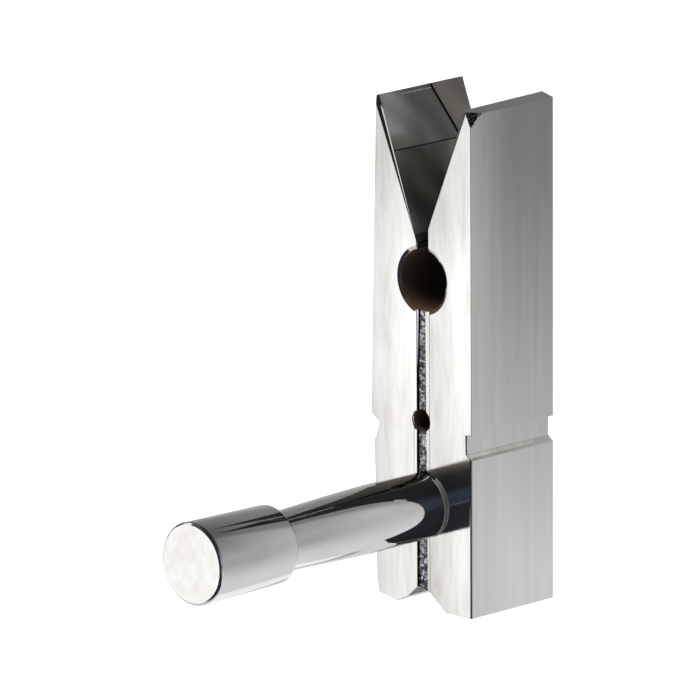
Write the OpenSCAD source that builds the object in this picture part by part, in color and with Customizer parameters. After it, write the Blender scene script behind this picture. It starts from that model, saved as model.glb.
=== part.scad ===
// Wall coat hook in the form of a clothes peg. The forked body stands upright against
// the wall, and a round peg with a thicker end cap stands out from its jaws.
// Millimetres. X is to the right, Y goes back to the wall and Z is up. The back of the
// body lies in the wall plane y = 0, and the origin is midway between the two wall screws.

/* [Body] */
// Height of the body, from the feet to the outer corners of the arm tips
body_h = 99.4; // [90:0.2:110]
// Depth of the body, from the front face to the wall
body_d = 22.6; // [20:0.2:30]
// Half width of the right side, from the centre line
right_half_w = 13.1; // [12.6:0.1:16]
// Half width of the left arm at its tip
left_tip_half_w = 12.5; // [12.2:0.1:15]
// Half width of the left arm just above the wire notch
left_arm_half_w = 14; // [13.5:0.1:16]
// Half width of the left jaw under the wire notch
left_jaw_half_w = 13.2; // [12.6:0.1:15.5]
// How far the left jaw narrows down to its foot
left_jaw_taper = 0.6; // [0:0.1:1]
// Slope of the arm tips towards their outer sides, in degrees
tip_slope = 14; // [5:1:25]
// Chamfer of the upright front edge of the right jaw
front_chamfer = 0.3; // [0.1:0.05:0.6]

/* [Opening between the arms] */
// Width of the slot between the arms and of the flat jaw gap
slot_w = 3; // [2:0.1:4]
// Height at which the left arm starts to spread
left_spread_z = 72.1; // [71.9:0.1:76]
// Height at which the right arm starts to spread
right_spread_z = 75; // [72:0.1:78]
// Spread of each arm's inner wall from the vertical, in degrees
spread_angle = 20.6; // [14:0.2:21.4]
// Spread of the polished bevel on the front edge of that wall, in degrees
bevel_angle = 23; // [21.6:0.2:24]
// How many times wider than deep that bevel is
bevel_flatness = 3; // [1:0.5:4]
// Casting draft of the inner walls from front to back, in degrees
wall_draft = 1.8; // [0:0.1:2.5]

/* [Spring hole, groove and wire hole] */
// Height of the spring hole's centre
spring_z = 64.9; // [64:0.1:67]
// Diameter of the spring hole
spring_d = 12.2; // [10:0.1:12.6]
// Width of the polished rim round the spring hole
spring_rim = 0.7; // [0.3:0.05:0.9]
// Depth of the rims round the spring hole and the wire hole
rim_depth = 0.3; // [0.1:0.05:0.6]
// Width of the groove between the jaws
groove_w = 3.3; // [2.4:0.1:4.4]
// Depth of that groove
groove_depth = 0.8; // [0.4:0.1:1.5]
// Chamfer on both sides of the groove
groove_chamfer = 0.3; // [0.1:0.05:0.5]
// Height of the wire hole's centre
wire_z = 37; // [36:0.1:40]
// How far the wire hole is off centre to the left
wire_offset = 0.4; // [0:0.1:0.6]
// Diameter of the wire hole
wire_d = 4.4; // [4:0.1:6.5]
// Width of the rim round the wire hole
wire_rim = 0.2; // [0.1:0.05:0.4]

/* [Wire notches and feet] */
// Height of the lower end of both notches
notch_z = 31.4; // [30:0.1:33]
// Height of a notch
notch_h = 5; // [4:0.1:6]
// Depth of a notch
notch_depth = 1.3; // [0.6:0.1:2]
// Height of the sloped lower side of a notch
notch_ramp = 1; // [0.4:0.1:1.5]
// Height of the chamfer between the feet
foot_chamfer_h = 3.8; // [2:0.1:5]
// Half width of that chamfer at the floor of the feet
foot_gap_half_w = 6.1; // [4.5:0.1:7]
// Height of the cut outer corner of the left foot
foot_corner_h = 0.9; // [0.2:0.1:2]

/* [Peg] */
// Height of the peg's axis above the feet
peg_z = 20.4; // [18:0.1:24]
// How far the peg stands out from the body's front face
peg_reach = 62.2; // [45:0.2:90]
// Diameter of the rod at the body
rod_base_d = 13; // [11:0.1:16]
// Diameter of the rod where it is thickest
rod_belly_d = 13.2; // [12:0.1:16]
// How far in front of the body the rod is thickest
rod_belly_y = 14; // [8:1:20]
// Diameter of the rod at its front end
rod_tip_d = 11.3; // [10:0.1:13]
// Chamfer at the foot of the rod
rod_chamfer = 0.4; // [0.1:0.05:0.6]
// Length of the end cap
cap_len = 21; // [16:0.5:30]
// Diameter of the end cap at its front
cap_front_d = 16.2; // [14.5:0.1:20]
// Diameter of the end cap at its back rim
cap_back_d = 15.5; // [14.2:0.1:20]
// Radius of the end cap's front edge
cap_front_r = 0.7; // [0.3:0.1:1.5]
// Radius of the end cap's back edge
cap_back_r = 0.6; // [0.3:0.1:1]
// How deep the rod sits in the back of the end cap
cap_seat = 2; // [1:0.5:4]

/* [Fastenings inside] */
// Thread diameter of the screw that holds the rod
rod_screw_d = 6; // [5:0.5:6]
// How far that screw reaches into the rod
rod_screw_grip = 12; // [8:1:16]
// Head diameter of that screw
rod_head_d = 11; // [9:0.5:12]
// Head height of that screw
rod_head_h = 4; // [3:0.5:4.5]
// Thickness of the spring washer under its head
washer_t = 1.6; // [1:0.1:1.8]
// Thread diameter of the stud in the end cap
stud_d = 5; // [4:0.5:6]
// Length of the stud in the rod, and again in the cap
stud_grip = 8; // [6:0.5:10]
// Thread diameter of the grub screw under the body
grub_d = 4; // [3:0.5:5]
// Width across the flats of the hexagon sockets in the rod screw and the grub screw
socket_w = 2; // [1.5:0.1:2.4]

/* [Wall bracket] */
// Width of the bracket
bracket_w = 17; // [14:0.5:18]
// Thickness of the bracket's sheet
bracket_t = 2; // [1.5:0.1:2.5]
// Distance between the two wall screws
wall_screw_gap = 32; // [26:1:33]
// Diameter of the wall screw holes
wall_hole_d = 4.5; // [3.5:0.1:5]
// Diameter of their countersinks
wall_sink_d = 7; // [6.5:0.1:9]
// Height of the lower wall screw above the feet
wall_screw_z = 14; // [13.5:0.1:15]
// How far the bracket's shelves reach forward
shelf_reach = 6; // [5:0.2:7]
// Height of the hooked lip on the upper shelf
lip_h = 2; // [1:0.2:3]

/* [Pocket behind the jaws] */
// Height of the pocket's floor above the feet
pocket_z = 8; // [7:0.1:9]
// Height of the pocket
pocket_h = 44; // [42:0.5:46]
// Depth of the pocket from the wall
pocket_depth = 11; // [10:0.5:12]

/* [Fits] */
// Gap on each side of the bracket and behind its lip
bracket_gap = 0.4; // [0.2:0.1:0.8]
// Gap between a thread and its hole, on the radius
thread_gap = 0.05; // [0.02:0.01:0.1]
// Gap round a screw in a plain hole, on the radius
plain_gap = 0.25; // [0.1:0.05:0.4]
// Gap round the rod in the seat of the end cap, on the radius
seat_gap = 0.1; // [0.05:0.05:0.3]
// Lift of the bracket above the pocket's floor, taken up by the grub screw
bracket_lift = 1.5; // [1:0.1:2.5]
// Space left at the blind end of a threaded hole
blind_gap = 1; // [0.5:0.1:1.5]

/* [Hidden] */
$fn = 96;
far = 200;                                  // larger than the hook, for cutting shapes
cut = 1;                                    // how far a cutting shape passes a face
origin_z = wall_screw_z + wall_screw_gap / 2;
wall_z = body_d - pocket_depth;             // metal left in front of the pocket
rod_len = peg_reach - cap_len + cap_seat;
pocket_top = pocket_z + pocket_h;
bracket_z = pocket_z + bracket_lift;
chrome = "gainsboro";
zinc = "silver";
socket_r = socket_w / sqrt(3);              // corner radius of a hexagon socket
rod_steps = 10;                             // cones that make up each curved stretch of the rod
rod_curve = 1.3;                            // 1 is a straight taper to the tip, 2 a full curve

// Places a shape that is drawn from the floor of the feet
module from_feet(z = 0) translate([0, 0, z - origin_z]) children();

// Lays a shape along the peg, from a plane y, so that its own Z points to the front
module forward(z, y) from_feet(z) translate([0, y, 0]) rotate([90, 0, 0]) children();

// All the space on the side of a plane that its normal points to
module half_space(point, normal)
    translate(point)
        rotate([0, acos(normal[2] / norm(normal)), atan2(normal[1], normal[0])])
            translate([-far / 2, -far / 2, 0]) cube(far);

// The part of an upright block that lies between two heights, left or right of the centre
module side_block(side, z0, z1)
    translate([side < 0 ? -far : 0, -far, z0]) cube([far, 2 * far, z1 - z0]);

// Front outline of the body, with its notches, feet and sloped arm tips
module body_outline() {
    notch_top = notch_z + notch_h;
    foot_half_w = left_jaw_half_w - left_jaw_taper;
    polygon([
        [right_half_w, 0],
        [right_half_w, notch_z],
        [right_half_w - notch_depth, notch_z + notch_ramp],
        [right_half_w - notch_depth, notch_top - notch_ramp / 4],
        [right_half_w, notch_top],
        [right_half_w, body_h],
        [0, body_h + left_tip_half_w * tan(tip_slope)],
        [-left_tip_half_w, body_h],
        [-left_arm_half_w, notch_top],
        [-left_jaw_half_w + notch_depth, notch_top - notch_ramp * 3 / 2],
        [-left_jaw_half_w + notch_depth / 2, notch_z + notch_ramp],
        [-left_jaw_half_w, notch_z - notch_ramp / 4],
        [-foot_half_w, foot_chamfer_h],
        [-foot_half_w + foot_corner_h / 2, foot_corner_h],
        [-foot_gap_half_w - foot_corner_h, 0],
        [-foot_gap_half_w * 2 / 3, foot_chamfer_h * 0.4],
        [-slot_w / 2 - groove_chamfer, foot_chamfer_h],
        [slot_w / 2 + groove_chamfer, foot_chamfer_h * 0.85],
        [foot_gap_half_w, 0]
    ]);
}

// The wedge of space between the two arms
module arm_opening() {
    spread = tan(spread_angle);
    draft = tan(wall_draft);
    intersection() {
        half_space([-slot_w / 2, -body_d, left_spread_z], [1, -draft, spread]);
        half_space([slot_w / 2, -body_d, right_spread_z], [-1, -draft, spread]);
        translate([-far / 2, -far / 2, spring_z]) cube(far);
    }
    translate([-slot_w / 2, -body_d - cut, spring_z])
        cube([slot_w, body_d + 2 * cut, right_spread_z - spring_z]);
}

// Polished bevel along the front edge of one arm's inner wall
module arm_bevel(side, spread_z)
    intersection() {
        half_space([side * slot_w / 2, -body_d, spread_z], [-side, -bevel_flatness, tan(bevel_angle)]);
        side_block(side, spring_z, body_h + far);
    }

// Shallow groove between the jaws, with chamfered edges
module jaw_groove(z_top) {
    half_w = groove_w / 2;
    translate([0, 0, -cut])
        linear_extrude(height = z_top + cut)
            polygon([
                [-half_w, -body_d + groove_depth],
                [half_w, -body_d + groove_depth],
                [half_w, -body_d + groove_chamfer],
                [half_w + groove_chamfer + cut, -body_d - cut],
                [-half_w - groove_chamfer - cut, -body_d - cut],
                [-half_w, -body_d + groove_chamfer]
            ]);
}

// Round hole through the front, with a shallow conical rim
module rimmed_hole(x, z, d, rim)
    translate([x, -body_d, z]) rotate([-90, 0, 0]) {
        translate([0, 0, -cut]) cylinder(h = body_d + 2 * cut, d = d);
        translate([0, 0, -cut])
            cylinder(h = rim_depth + cut, r1 = d / 2 + rim * (1 + cut / rim_depth), r2 = d / 2);
    }

// Chamfer along the upright front edge of the right jaw
module right_jaw_chamfer()
    intersection() {
        half_space([right_half_w - front_chamfer, -body_d, 0], [1, -1, 0]);
        side_block(1, -cut, notch_z + notch_ramp);
    }

// Pocket in the back that takes the wall bracket and the head of the rod screw
module bracket_pocket() {
    pocket_w = bracket_w + 2 * bracket_gap;
    translate([-pocket_w / 2, -pocket_depth, pocket_z])
        cube([pocket_w, pocket_depth + cut, pocket_h]);
    translate([-pocket_w / 2, -shelf_reach - bracket_gap, pocket_top - cut])
        cube([pocket_w, bracket_t + 2 * bracket_gap, lip_h + bracket_gap + cut]);
}

// Forked casting: two arms and jaws in one piece, polished and chrome plated
module body()
    color(chrome) from_feet() difference() {
        rotate([90, 0, 0]) linear_extrude(height = body_d) body_outline();
        arm_opening();
        arm_bevel(-1, left_spread_z);
        arm_bevel(1, right_spread_z);
        jaw_groove(spring_z - spring_d / 4);
        rimmed_hole(0, spring_z, spring_d, spring_rim);
        rimmed_hole(-wire_offset, wire_z, wire_d, wire_rim);
        right_jaw_chamfer();
        bracket_pocket();
        translate([0, cut, peg_z]) rotate([90, 0, 0])
            cylinder(h = body_d + 2 * cut, d = rod_screw_d + 2 * plain_gap);
        translate([0, -shelf_reach / 2 - bracket_t / 2, -cut])
            cylinder(h = pocket_z + 2 * cut, d = grub_d + 2 * thread_gap);
    }

// Points of the rod's outline from its foot to its belly, and on from there to its tip
function rod_outline() = concat(
    [for (i = [0:rod_steps - 1]) let (t = i / rod_steps)
        [rod_belly_d / 2 - (rod_belly_d - rod_base_d) / 2 * pow(1 - t, 2),
         rod_chamfer + (rod_belly_y - rod_chamfer) * t]],
    [for (i = [0:rod_steps]) let (t = i / rod_steps)
        [rod_belly_d / 2 - (rod_belly_d - rod_tip_d) / 2 * pow(t, rod_curve),
         rod_belly_y + (rod_len - rod_belly_y) * t]]);

// Round rod with a slight belly and a taper to its tip, drilled and tapped at both ends
module peg_rod()
    color(chrome) forward(peg_z, -body_d) difference() {
        rotate_extrude() polygon(concat(
            [[0, 0], [rod_base_d / 2 - rod_chamfer, 0]],
            rod_outline(),
            [[0, rod_len]]
        ));
        translate([0, 0, -cut])
            cylinder(h = rod_screw_grip + blind_gap + cut, d = rod_screw_d + 2 * thread_gap);
        translate([0, 0, rod_len - stud_grip - blind_gap])
            cylinder(h = stud_grip + blind_gap + cut, d = stud_d + 2 * thread_gap);
    }

// Points of a quarter round from one angle to the next, about a centre
function quarter(centre, r, from_a, steps = 8) =
    [for (i = [0:steps]) centre + r * [cos(from_a + 90 * i / steps), sin(from_a + 90 * i / steps)]];

// Solid end cap that flares slightly to the front, with rounded edges
module end_cap()
    color(chrome) forward(peg_z, -body_d - peg_reach + cap_len) difference() {
        rotate_extrude() polygon(concat(
            [[0, 0]],
            quarter([cap_back_d / 2 - cap_back_r, cap_back_r], cap_back_r, -90),
            quarter([cap_front_d / 2 - cap_front_r, cap_len - cap_front_r], cap_front_r, 0),
            [[0, cap_len]]
        ));
        translate([0, 0, -cut]) cylinder(h = cap_seat + cut, d = rod_tip_d + 2 * seat_gap);
        translate([0, 0, cap_seat - cut])
            cylinder(h = stud_grip + blind_gap + cut, d = stud_d + 2 * thread_gap);
    }

// Threaded stud that joins the end cap to the rod
module cap_stud()
    color(zinc) forward(peg_z, -body_d - rod_len + stud_grip)
        cylinder(h = 2 * stud_grip, d = stud_d);

// Cap screw that clamps the rod to the body from inside the pocket
module rod_screw()
    color(zinc) forward(peg_z, -pocket_depth + washer_t) difference() {
        union() {
            cylinder(h = washer_t + wall_z + rod_screw_grip, d = rod_screw_d);
            translate([0, 0, -rod_head_h]) cylinder(h = rod_head_h, d = rod_head_d);
        }
        translate([0, 0, -rod_head_h - cut])
            cylinder(h = rod_head_h / 2 + cut, r = 2 * socket_r, $fn = 6);
    }

// Spring washer between the screw head and the pocket
module spring_washer()
    color(zinc) forward(peg_z, -pocket_depth + washer_t) difference() {
        cylinder(h = washer_t, d = rod_head_d);
        translate([0, 0, -cut])
            cylinder(h = washer_t + 2 * cut, d = rod_screw_d + 2 * plain_gap);
    }

// Bent steel bracket that is screwed to the wall and carries the body on its upper shelf
module wall_bracket() {
    bracket_h = pocket_top - bracket_z;
    color(zinc) from_feet() difference() {
        union() {
            translate([-bracket_w / 2, -bracket_t, bracket_z])
                cube([bracket_w, bracket_t, bracket_h]);
            for (z = [bracket_z, pocket_top - bracket_t])
                translate([-bracket_w / 2, -shelf_reach, z])
                    cube([bracket_w, shelf_reach, bracket_t]);
            translate([-bracket_w / 2, -shelf_reach, pocket_top - bracket_t])
                cube([bracket_w, bracket_t, bracket_t + lip_h]);
        }
        for (z = [0, wall_screw_gap])
            translate([0, cut, wall_screw_z + z]) rotate([90, 0, 0]) {
                cylinder(h = bracket_t + 2 * cut, d = wall_hole_d);
                translate([0, 0, cut + bracket_t - (wall_sink_d - wall_hole_d) / 2])
                    cylinder(h = (wall_sink_d - wall_hole_d) / 2 + cut,
                             d1 = wall_hole_d, d2 = wall_sink_d + 2 * cut);
            }
    }
}

// Grub screw that locks the body on the bracket from below
module grub_screw() {
    point_h = grub_d / 4;
    screw_h = bracket_z - foot_chamfer_h - blind_gap / 2;
    color(zinc) from_feet(bracket_z - screw_h) translate([0, -shelf_reach / 2 - bracket_t / 2, 0])
        difference() {
            union() {
                cylinder(h = screw_h - point_h, d = grub_d);
                translate([0, 0, screw_h - point_h])
                    cylinder(h = point_h, d1 = grub_d, d2 = grub_d / 2);
            }
            translate([0, 0, -cut]) cylinder(h = screw_h / 2 + cut, r = socket_r, $fn = 6);
        }
}

body();
peg_rod();
end_cap();
cap_stud();
rod_screw();
spring_washer();
wall_bracket();
grub_screw();
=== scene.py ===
import math

import bmesh
import bpy
from mathutils import Matrix, Vector, noise


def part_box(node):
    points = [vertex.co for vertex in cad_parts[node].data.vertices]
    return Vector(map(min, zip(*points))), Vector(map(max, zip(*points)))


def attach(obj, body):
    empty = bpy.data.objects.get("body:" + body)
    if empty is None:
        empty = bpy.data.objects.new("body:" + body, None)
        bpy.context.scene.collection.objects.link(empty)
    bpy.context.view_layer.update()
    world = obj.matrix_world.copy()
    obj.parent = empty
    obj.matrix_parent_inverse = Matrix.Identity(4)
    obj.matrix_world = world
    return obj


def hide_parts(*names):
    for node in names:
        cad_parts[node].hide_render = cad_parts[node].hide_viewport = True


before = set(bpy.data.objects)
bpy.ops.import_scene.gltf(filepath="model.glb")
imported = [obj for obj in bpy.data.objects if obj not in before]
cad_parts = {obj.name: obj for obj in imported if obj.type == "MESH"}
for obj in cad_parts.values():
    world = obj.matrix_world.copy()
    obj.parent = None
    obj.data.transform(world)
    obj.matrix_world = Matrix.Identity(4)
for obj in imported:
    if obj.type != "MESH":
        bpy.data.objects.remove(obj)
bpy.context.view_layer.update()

# The size of the imported model is kept from here. MM turns a size in millimetres into metres.
MM = 0.001
body_low, body_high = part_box("body")
feet_z = body_low[2]

# Camera of the photograph: a long lens, from the right and a little above. Its aim lies
# left of the body, so that the whole peg is in the picture.
VIEW_AZIMUTH = math.radians(45.15)
VIEW_ELEVATION = math.radians(13.8)
VIEW_ROLL = math.radians(0.264)
VIEW_DISTANCE = 2.2363
VIEW_LENS = 596.57
BODY_MIDDLE = Vector((0, -11 * MM, feet_z + 50 * MM))
AIM_LEFT = 22.14 * MM
AIM_DOWN = 0.76 * MM

to_right = Vector((math.cos(VIEW_AZIMUTH), math.sin(VIEW_AZIMUTH), 0))
into_view = Vector((-math.sin(VIEW_AZIMUTH) * math.cos(VIEW_ELEVATION),
                    math.cos(VIEW_AZIMUTH) * math.cos(VIEW_ELEVATION),
                    -math.sin(VIEW_ELEVATION)))
upwards = to_right.cross(into_view)
aim = BODY_MIDDLE - to_right * AIM_LEFT - upwards * AIM_DOWN
rolled_right = to_right * math.cos(VIEW_ROLL) - upwards * math.sin(VIEW_ROLL)
rolled_up = to_right * math.sin(VIEW_ROLL) + upwards * math.cos(VIEW_ROLL)

camera_data = bpy.data.cameras.new("photo_camera")
camera_data.lens = VIEW_LENS
camera_data.clip_start = 0.01
camera_data.clip_end = 20
camera = bpy.data.objects.new("photo_camera", camera_data)
bpy.context.collection.objects.link(camera)
camera.matrix_world = (Matrix.Translation(aim - into_view * VIEW_DISTANCE)
                       @ Matrix((rolled_right, rolled_up, -into_view)).transposed().to_4x4())
bpy.context.scene.camera = camera
bpy.context.scene.view_settings.view_transform = "Standard"

# Floor: a matt white sheet well below the hook. It shows plain white to the camera, and it
# keeps the light and the shadows that the chrome mirrors.
FLOOR_DROP = 250 * MM
FLOOR_SIZE = 12


def srgb(hex_colour):
    """Turns a colour such as "#C8C8C8" into the linear values that the shaders use."""
    parts = [int(hex_colour[i:i + 2], 16) / 255 for i in (1, 3, 5)]
    linear = [c / 12.92 if c <= 0.04045 else ((c + 0.055) / 1.055) ** 2.4 for c in parts]
    return (*linear, 1.0)


def add_node(tree, kind, settings=None, inputs=None, links=None):
    """Adds a node with its settings, its fixed inputs and the sockets that feed it."""
    node = tree.nodes.new(kind)
    for name, value in (settings or {}).items():
        setattr(node, name, value)
    for name, value in (inputs or {}).items():
        node.inputs[name].default_value = value
    for name, socket in (links or {}).items():
        tree.links.new(socket, node.inputs[name])
    return node


def new_material(name):
    """Starts an empty node material and returns it with its tree and output node."""
    material = bpy.data.materials.new(name)
    material.use_nodes = True
    tree = material.node_tree
    tree.nodes.clear()
    output = add_node(tree, "ShaderNodeOutputMaterial")
    return material, tree, output


def plane_object(name, centre, normal, width, height):
    """Makes a flat sheet for the studio, which faces along its normal."""
    sheet = bmesh.new()
    bmesh.ops.create_grid(sheet, x_segments=1, y_segments=1, size=0.5)
    bmesh.ops.scale(sheet, vec=(width, height, 1), verts=sheet.verts)
    turn = Vector(normal).to_track_quat("Z", "Y").to_matrix()
    bmesh.ops.rotate(sheet, matrix=turn, verts=sheet.verts)
    bmesh.ops.translate(sheet, vec=centre, verts=sheet.verts)
    mesh = bpy.data.meshes.new(name)
    sheet.to_mesh(mesh)
    sheet.free()
    sheet_object = bpy.data.objects.new(name, mesh)
    bpy.context.collection.objects.link(sheet_object)
    return sheet_object


floor = plane_object("floor", (0, 0, feet_z - FLOOR_DROP), (0, 0, 1), FLOOR_SIZE, FLOOR_SIZE)
floor_paint, tree, output = new_material("matt_white_floor")
rays = add_node(tree, "ShaderNodeLightPath")
lit = add_node(tree, "ShaderNodeBsdfDiffuse", inputs={"Color": srgb("#F4F4F2")})
glow = add_node(tree, "ShaderNodeEmission", inputs={"Color": (1, 1, 1, 1)},
                links={"Strength": rays.outputs["Is Camera Ray"]})
both = add_node(tree, "ShaderNodeAddShader", links={0: lit.outputs[0], 1: glow.outputs[0]})
tree.links.new(both.outputs[0], output.inputs["Surface"])
floor.data.materials.append(floor_paint)

# Graded panel: it hangs close behind the hook, and only the chrome sees it. It is light at
# the bottom and dark at the top, and its greys change a little from left to right. On the
# left it has a white foot, with a thin grey line above it.
PANEL_GAP = 15 * MM
PANEL_WIDTH = 3
PANEL_HEIGHT = 1.4
PANEL_MIDDLE_Z = 0.45
PANEL_COLUMNS = [
    # millimetres to the right between which the greys change to those of this column, and
    # its greys by height in millimetres
    ((-1500, -1499), [(-120, "#77746F"), (160, "#55524E")]),
    ((-180, -112), [(-120, "#FFFFFF"), (-86, "#FFFFFF"), (-85, "#9C9C9C"), (-81, "#9C9C9C"),
                    (-80, "#DCDCDC"), (-30, "#DFDFDF"), (0, "#BFBFBF"), (30, "#A0A0A0"),
                    (50, "#8A8A8A"), (90, "#7A7A7A"), (160, "#303030")]),
    ((-8, 2), [(-120, "#E0E0E0"), (-30, "#DFDFDF"), (0, "#BFBFBF"), (30, "#A0A0A0"),
               (50, "#8A8A8A"), (90, "#7A7A7A"), (160, "#303030")]),
    ((40, 51), [(-120, "#E0E0E0"), (-30, "#D4D4D4"), (0, "#C4C4C4"), (30, "#C0C0C0"),
                (60, "#AAAAAA"), (160, "#404040")]),
    ((60, 100), [(-120, "#E6E6E6"), (-72, "#C8C8C8"), (-27, "#ADADAD"), (24, "#ADADAD"),
                 (78, "#8E8E8E"), (160, "#404040")]),
]


def colour_ramp(tree, value, stops, unit=1):
    """Colours a value by stops, which give a place on its own scale and a colour."""
    low, high = stops[0][0], stops[-1][0]
    level = add_node(tree, "ShaderNodeMapRange", links={"Value": value},
                     inputs={"From Min": low * unit, "From Max": high * unit})
    ramp = add_node(tree, "ShaderNodeValToRGB", links={"Fac": level.outputs[0]})
    elements = ramp.color_ramp.elements
    while len(elements) < len(stops):
        elements.new(0.5)
    for element, (place, colour) in zip(elements, stops):
        element.position = (place - low) / (high - low)
        element.color = srgb(colour)
    return ramp.outputs["Color"]


panel = plane_object("graded_panel", (0, PANEL_GAP, PANEL_MIDDLE_Z), (0, -1, 0), PANEL_WIDTH,
                     PANEL_HEIGHT)
panel_paint, tree, output = new_material("graded_grey_panel")
place = add_node(tree, "ShaderNodeNewGeometry")
split = add_node(tree, "ShaderNodeSeparateXYZ", links={0: place.outputs["Position"]})
shade = colour_ramp(tree, split.outputs["Z"], PANEL_COLUMNS[0][1], MM)
for (start, end), greys in PANEL_COLUMNS[1:]:
    sideways = add_node(tree, "ShaderNodeMapRange", links={"Value": split.outputs["X"]},
                        inputs={"From Min": start * MM, "From Max": end * MM})
    column = colour_ramp(tree, split.outputs["Z"], greys, MM)
    joined = add_node(tree, "ShaderNodeMix", {"data_type": "RGBA"},
                      links={0: sideways.outputs[0], 6: shade, 7: column})
    shade = joined.outputs[2]
glow = add_node(tree, "ShaderNodeEmission", links={"Color": shade})
tree.links.new(glow.outputs[0], output.inputs["Surface"])
panel.data.materials.append(panel_paint)

# Cards: a white one on the left lights the polished faces, and a dark mat lies on the floor
# in front and to the right. They too are seen by the chrome alone.
MAT_Z = feet_z - FLOOR_DROP + 1 * MM
CARDS = [
    # name, centre in metres, way it faces, width, height, colour, strength, and the degrees
    # by which it is then turned about the upright through the origin
    ("left_card", (-0.325, -0.395, -0.12), (1, 1, 0), 0.50, 0.32, "#FFFFFF", 1.2, 0),
    ("dark_mat", (4.55, -4.425, MAT_Z), (0, 0, 1), 8.90, 9.15, "#2B2E34", 1, -45),
]

cards = [panel]
for name, centre, facing, width, height, colour, strength, turn in CARDS:
    card = plane_object(name, centre, facing, width, height)
    card.rotation_euler.z = math.radians(turn)
    card_paint, tree, output = new_material(name)
    glow = add_node(tree, "ShaderNodeEmission",
                    inputs={"Color": srgb(colour), "Strength": strength})
    tree.links.new(glow.outputs[0], output.inputs["Surface"])
    card.data.materials.append(card_paint)
    cards.append(card)
for card in cards:
    card.visible_camera = False
    card.visible_diffuse = False
    card.visible_shadow = False

# Room: dim, with a bright strip on the left, a little blue on the right and a paler wall at
# the far right. Its colours go by the part of a direction that points right. The camera
# sees plain white instead. A soft lamp overhead lights the floor.
ROOM_COLOURS = [(-1.0, "#4A4844"), (-0.9, "#5A5854"), (-0.84, "#FFFFFF"), (-0.72, "#FFFFFF"),
                (-0.68, "#6A665F"), (-0.42, "#504D49"), (-0.2, "#383634"), (0.05, "#2E2D2E"),
                (0.5, "#26282C"), (0.66, "#3C4452"), (0.74, "#343C48"), (0.88, "#8E8E8E"),
                (1.0, "#A8A8A8")]
LAMP_PLACE = Vector((-0.4, -0.5, 1.5))
LAMP_SIZE = 1.2
LAMP_WATTS = 22

world = bpy.data.worlds.new("studio")
world.use_nodes = True
tree = world.node_tree
tree.nodes.clear()
rays = add_node(tree, "ShaderNodeLightPath")
direction = add_node(tree, "ShaderNodeTexCoord")
split = add_node(tree, "ShaderNodeSeparateXYZ", links={0: direction.outputs["Generated"]})
room = add_node(tree, "ShaderNodeMix", {"data_type": "RGBA"}, inputs={7: (1, 1, 1, 1)},
                links={0: rays.outputs["Is Camera Ray"],
                       6: colour_ramp(tree, split.outputs["X"], ROOM_COLOURS)})
sky = add_node(tree, "ShaderNodeBackground", links={"Color": room.outputs[2]})
add_node(tree, "ShaderNodeOutputWorld", links={"Surface": sky.outputs[0]})
bpy.context.scene.world = world

lamp_data = bpy.data.lights.new("overhead_softbox", "AREA")
lamp_data.shape = "SQUARE"
lamp_data.size = LAMP_SIZE
lamp_data.energy = LAMP_WATTS
lamp = bpy.data.objects.new("overhead_softbox", lamp_data)
lamp.location = LAMP_PLACE
lamp.rotation_euler = (-LAMP_PLACE).to_track_quat("-Z", "Y").to_euler()
lamp.visible_glossy = False
bpy.context.collection.objects.link(lamp)

# Body: one zinc die casting in the form of a clothes peg. It is ground on its sides, buffed
# by hand on its front and bright chrome plated. The web between the jaws and the pocket in
# the back keep the rough skin of the mould.
front_y = body_low[1]
# Round holes through the body, as the x and z of the axis and the radius, and their rims
SPRING_HOLE = (0, feet_z + 64.9 * MM, 6.1 * MM)
WIRE_HOLE = (-0.4 * MM, feet_z + 37 * MM, 2.2 * MM)
RIM_W = 0.5 * MM
# Kinds of surface on the casting, in the order of its materials, and the places that part
# them: the pocket, the skin of the back, the inner walls of the arms, the floor of the groove
# Two of the kinds are painted light: the dark shade in the crease and the bright highlight on
# edges
BUFFED, GROUND, RECESS, MILLED, CAST, BORE, CREASE_SHADE, PAINTED_HIGHLIGHT = range(8)
ARM_WALL_KINDS = {RECESS, MILLED, CREASE_SHADE, PAINTED_HIGHLIGHT}
POCKET_Y = -11 * MM
POCKET_HALF_W = 9 * MM
BACK_SKIN = 0.1 * MM
ARM_WALL_X = 11 * MM
FLOOR_LEAST = 0.5 * MM
LIP = 0.02 * MM
# How much of a face's normal points along an axis: where the face lies square to the axis,
# nearly square to it or nearly along it, and for the sides and the spring hole's lower rim
SQUARE, STEEP, SHALLOW = 0.99, 0.9, 0.2
SIDE_TILT = 0.98
RIM_TILT = (-0.95, -0.3)
RIM_UPWARDS = 0.25
# Points closer than this many metres are one point, to a cut and to a comparison
TINY = 1e-7
CLOSE = 1e-6
WELD_GAP = 0.5e-6
LEVEL_ANGLE = math.radians(0.4)
SHARP_ANGLE = math.radians(12)


def merged_copy(node_name):
    """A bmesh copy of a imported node, with its loose triangles joined into whole faces."""
    copy = bmesh.new()
    copy.from_mesh(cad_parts[node_name].data)
    bmesh.ops.remove_doubles(copy, verts=copy.verts, dist=WELD_GAP)
    bmesh.ops.dissolve_limit(copy, angle_limit=LEVEL_ANGLE, verts=copy.verts,
                             edges=copy.edges, delimit=set())
    copy.normal_update()
    return copy


def finish_piece(mesh, name, node_name, materials):
    """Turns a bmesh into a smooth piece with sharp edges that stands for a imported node."""
    mesh.normal_update()
    for face in mesh.faces:
        face.smooth = True
    for edge in mesh.edges:
        edge.smooth = len(edge.link_faces) == 2 and edge.calc_face_angle(0) < SHARP_ANGLE
    data = bpy.data.meshes.new(name)
    mesh.to_mesh(data)
    mesh.free()
    for material in materials:
        data.materials.append(material)
    piece = bpy.data.objects.new(name, data)
    bpy.context.collection.objects.link(piece)
    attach(piece, "root")
    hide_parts(node_name)
    return piece


def level_faces(piece):
    """Keeps the shading of large level faces flat next to small round ones."""
    weights = piece.modifiers.new("level_faces", "WEIGHTED_NORMAL")
    weights.keep_sharp = True


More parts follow.
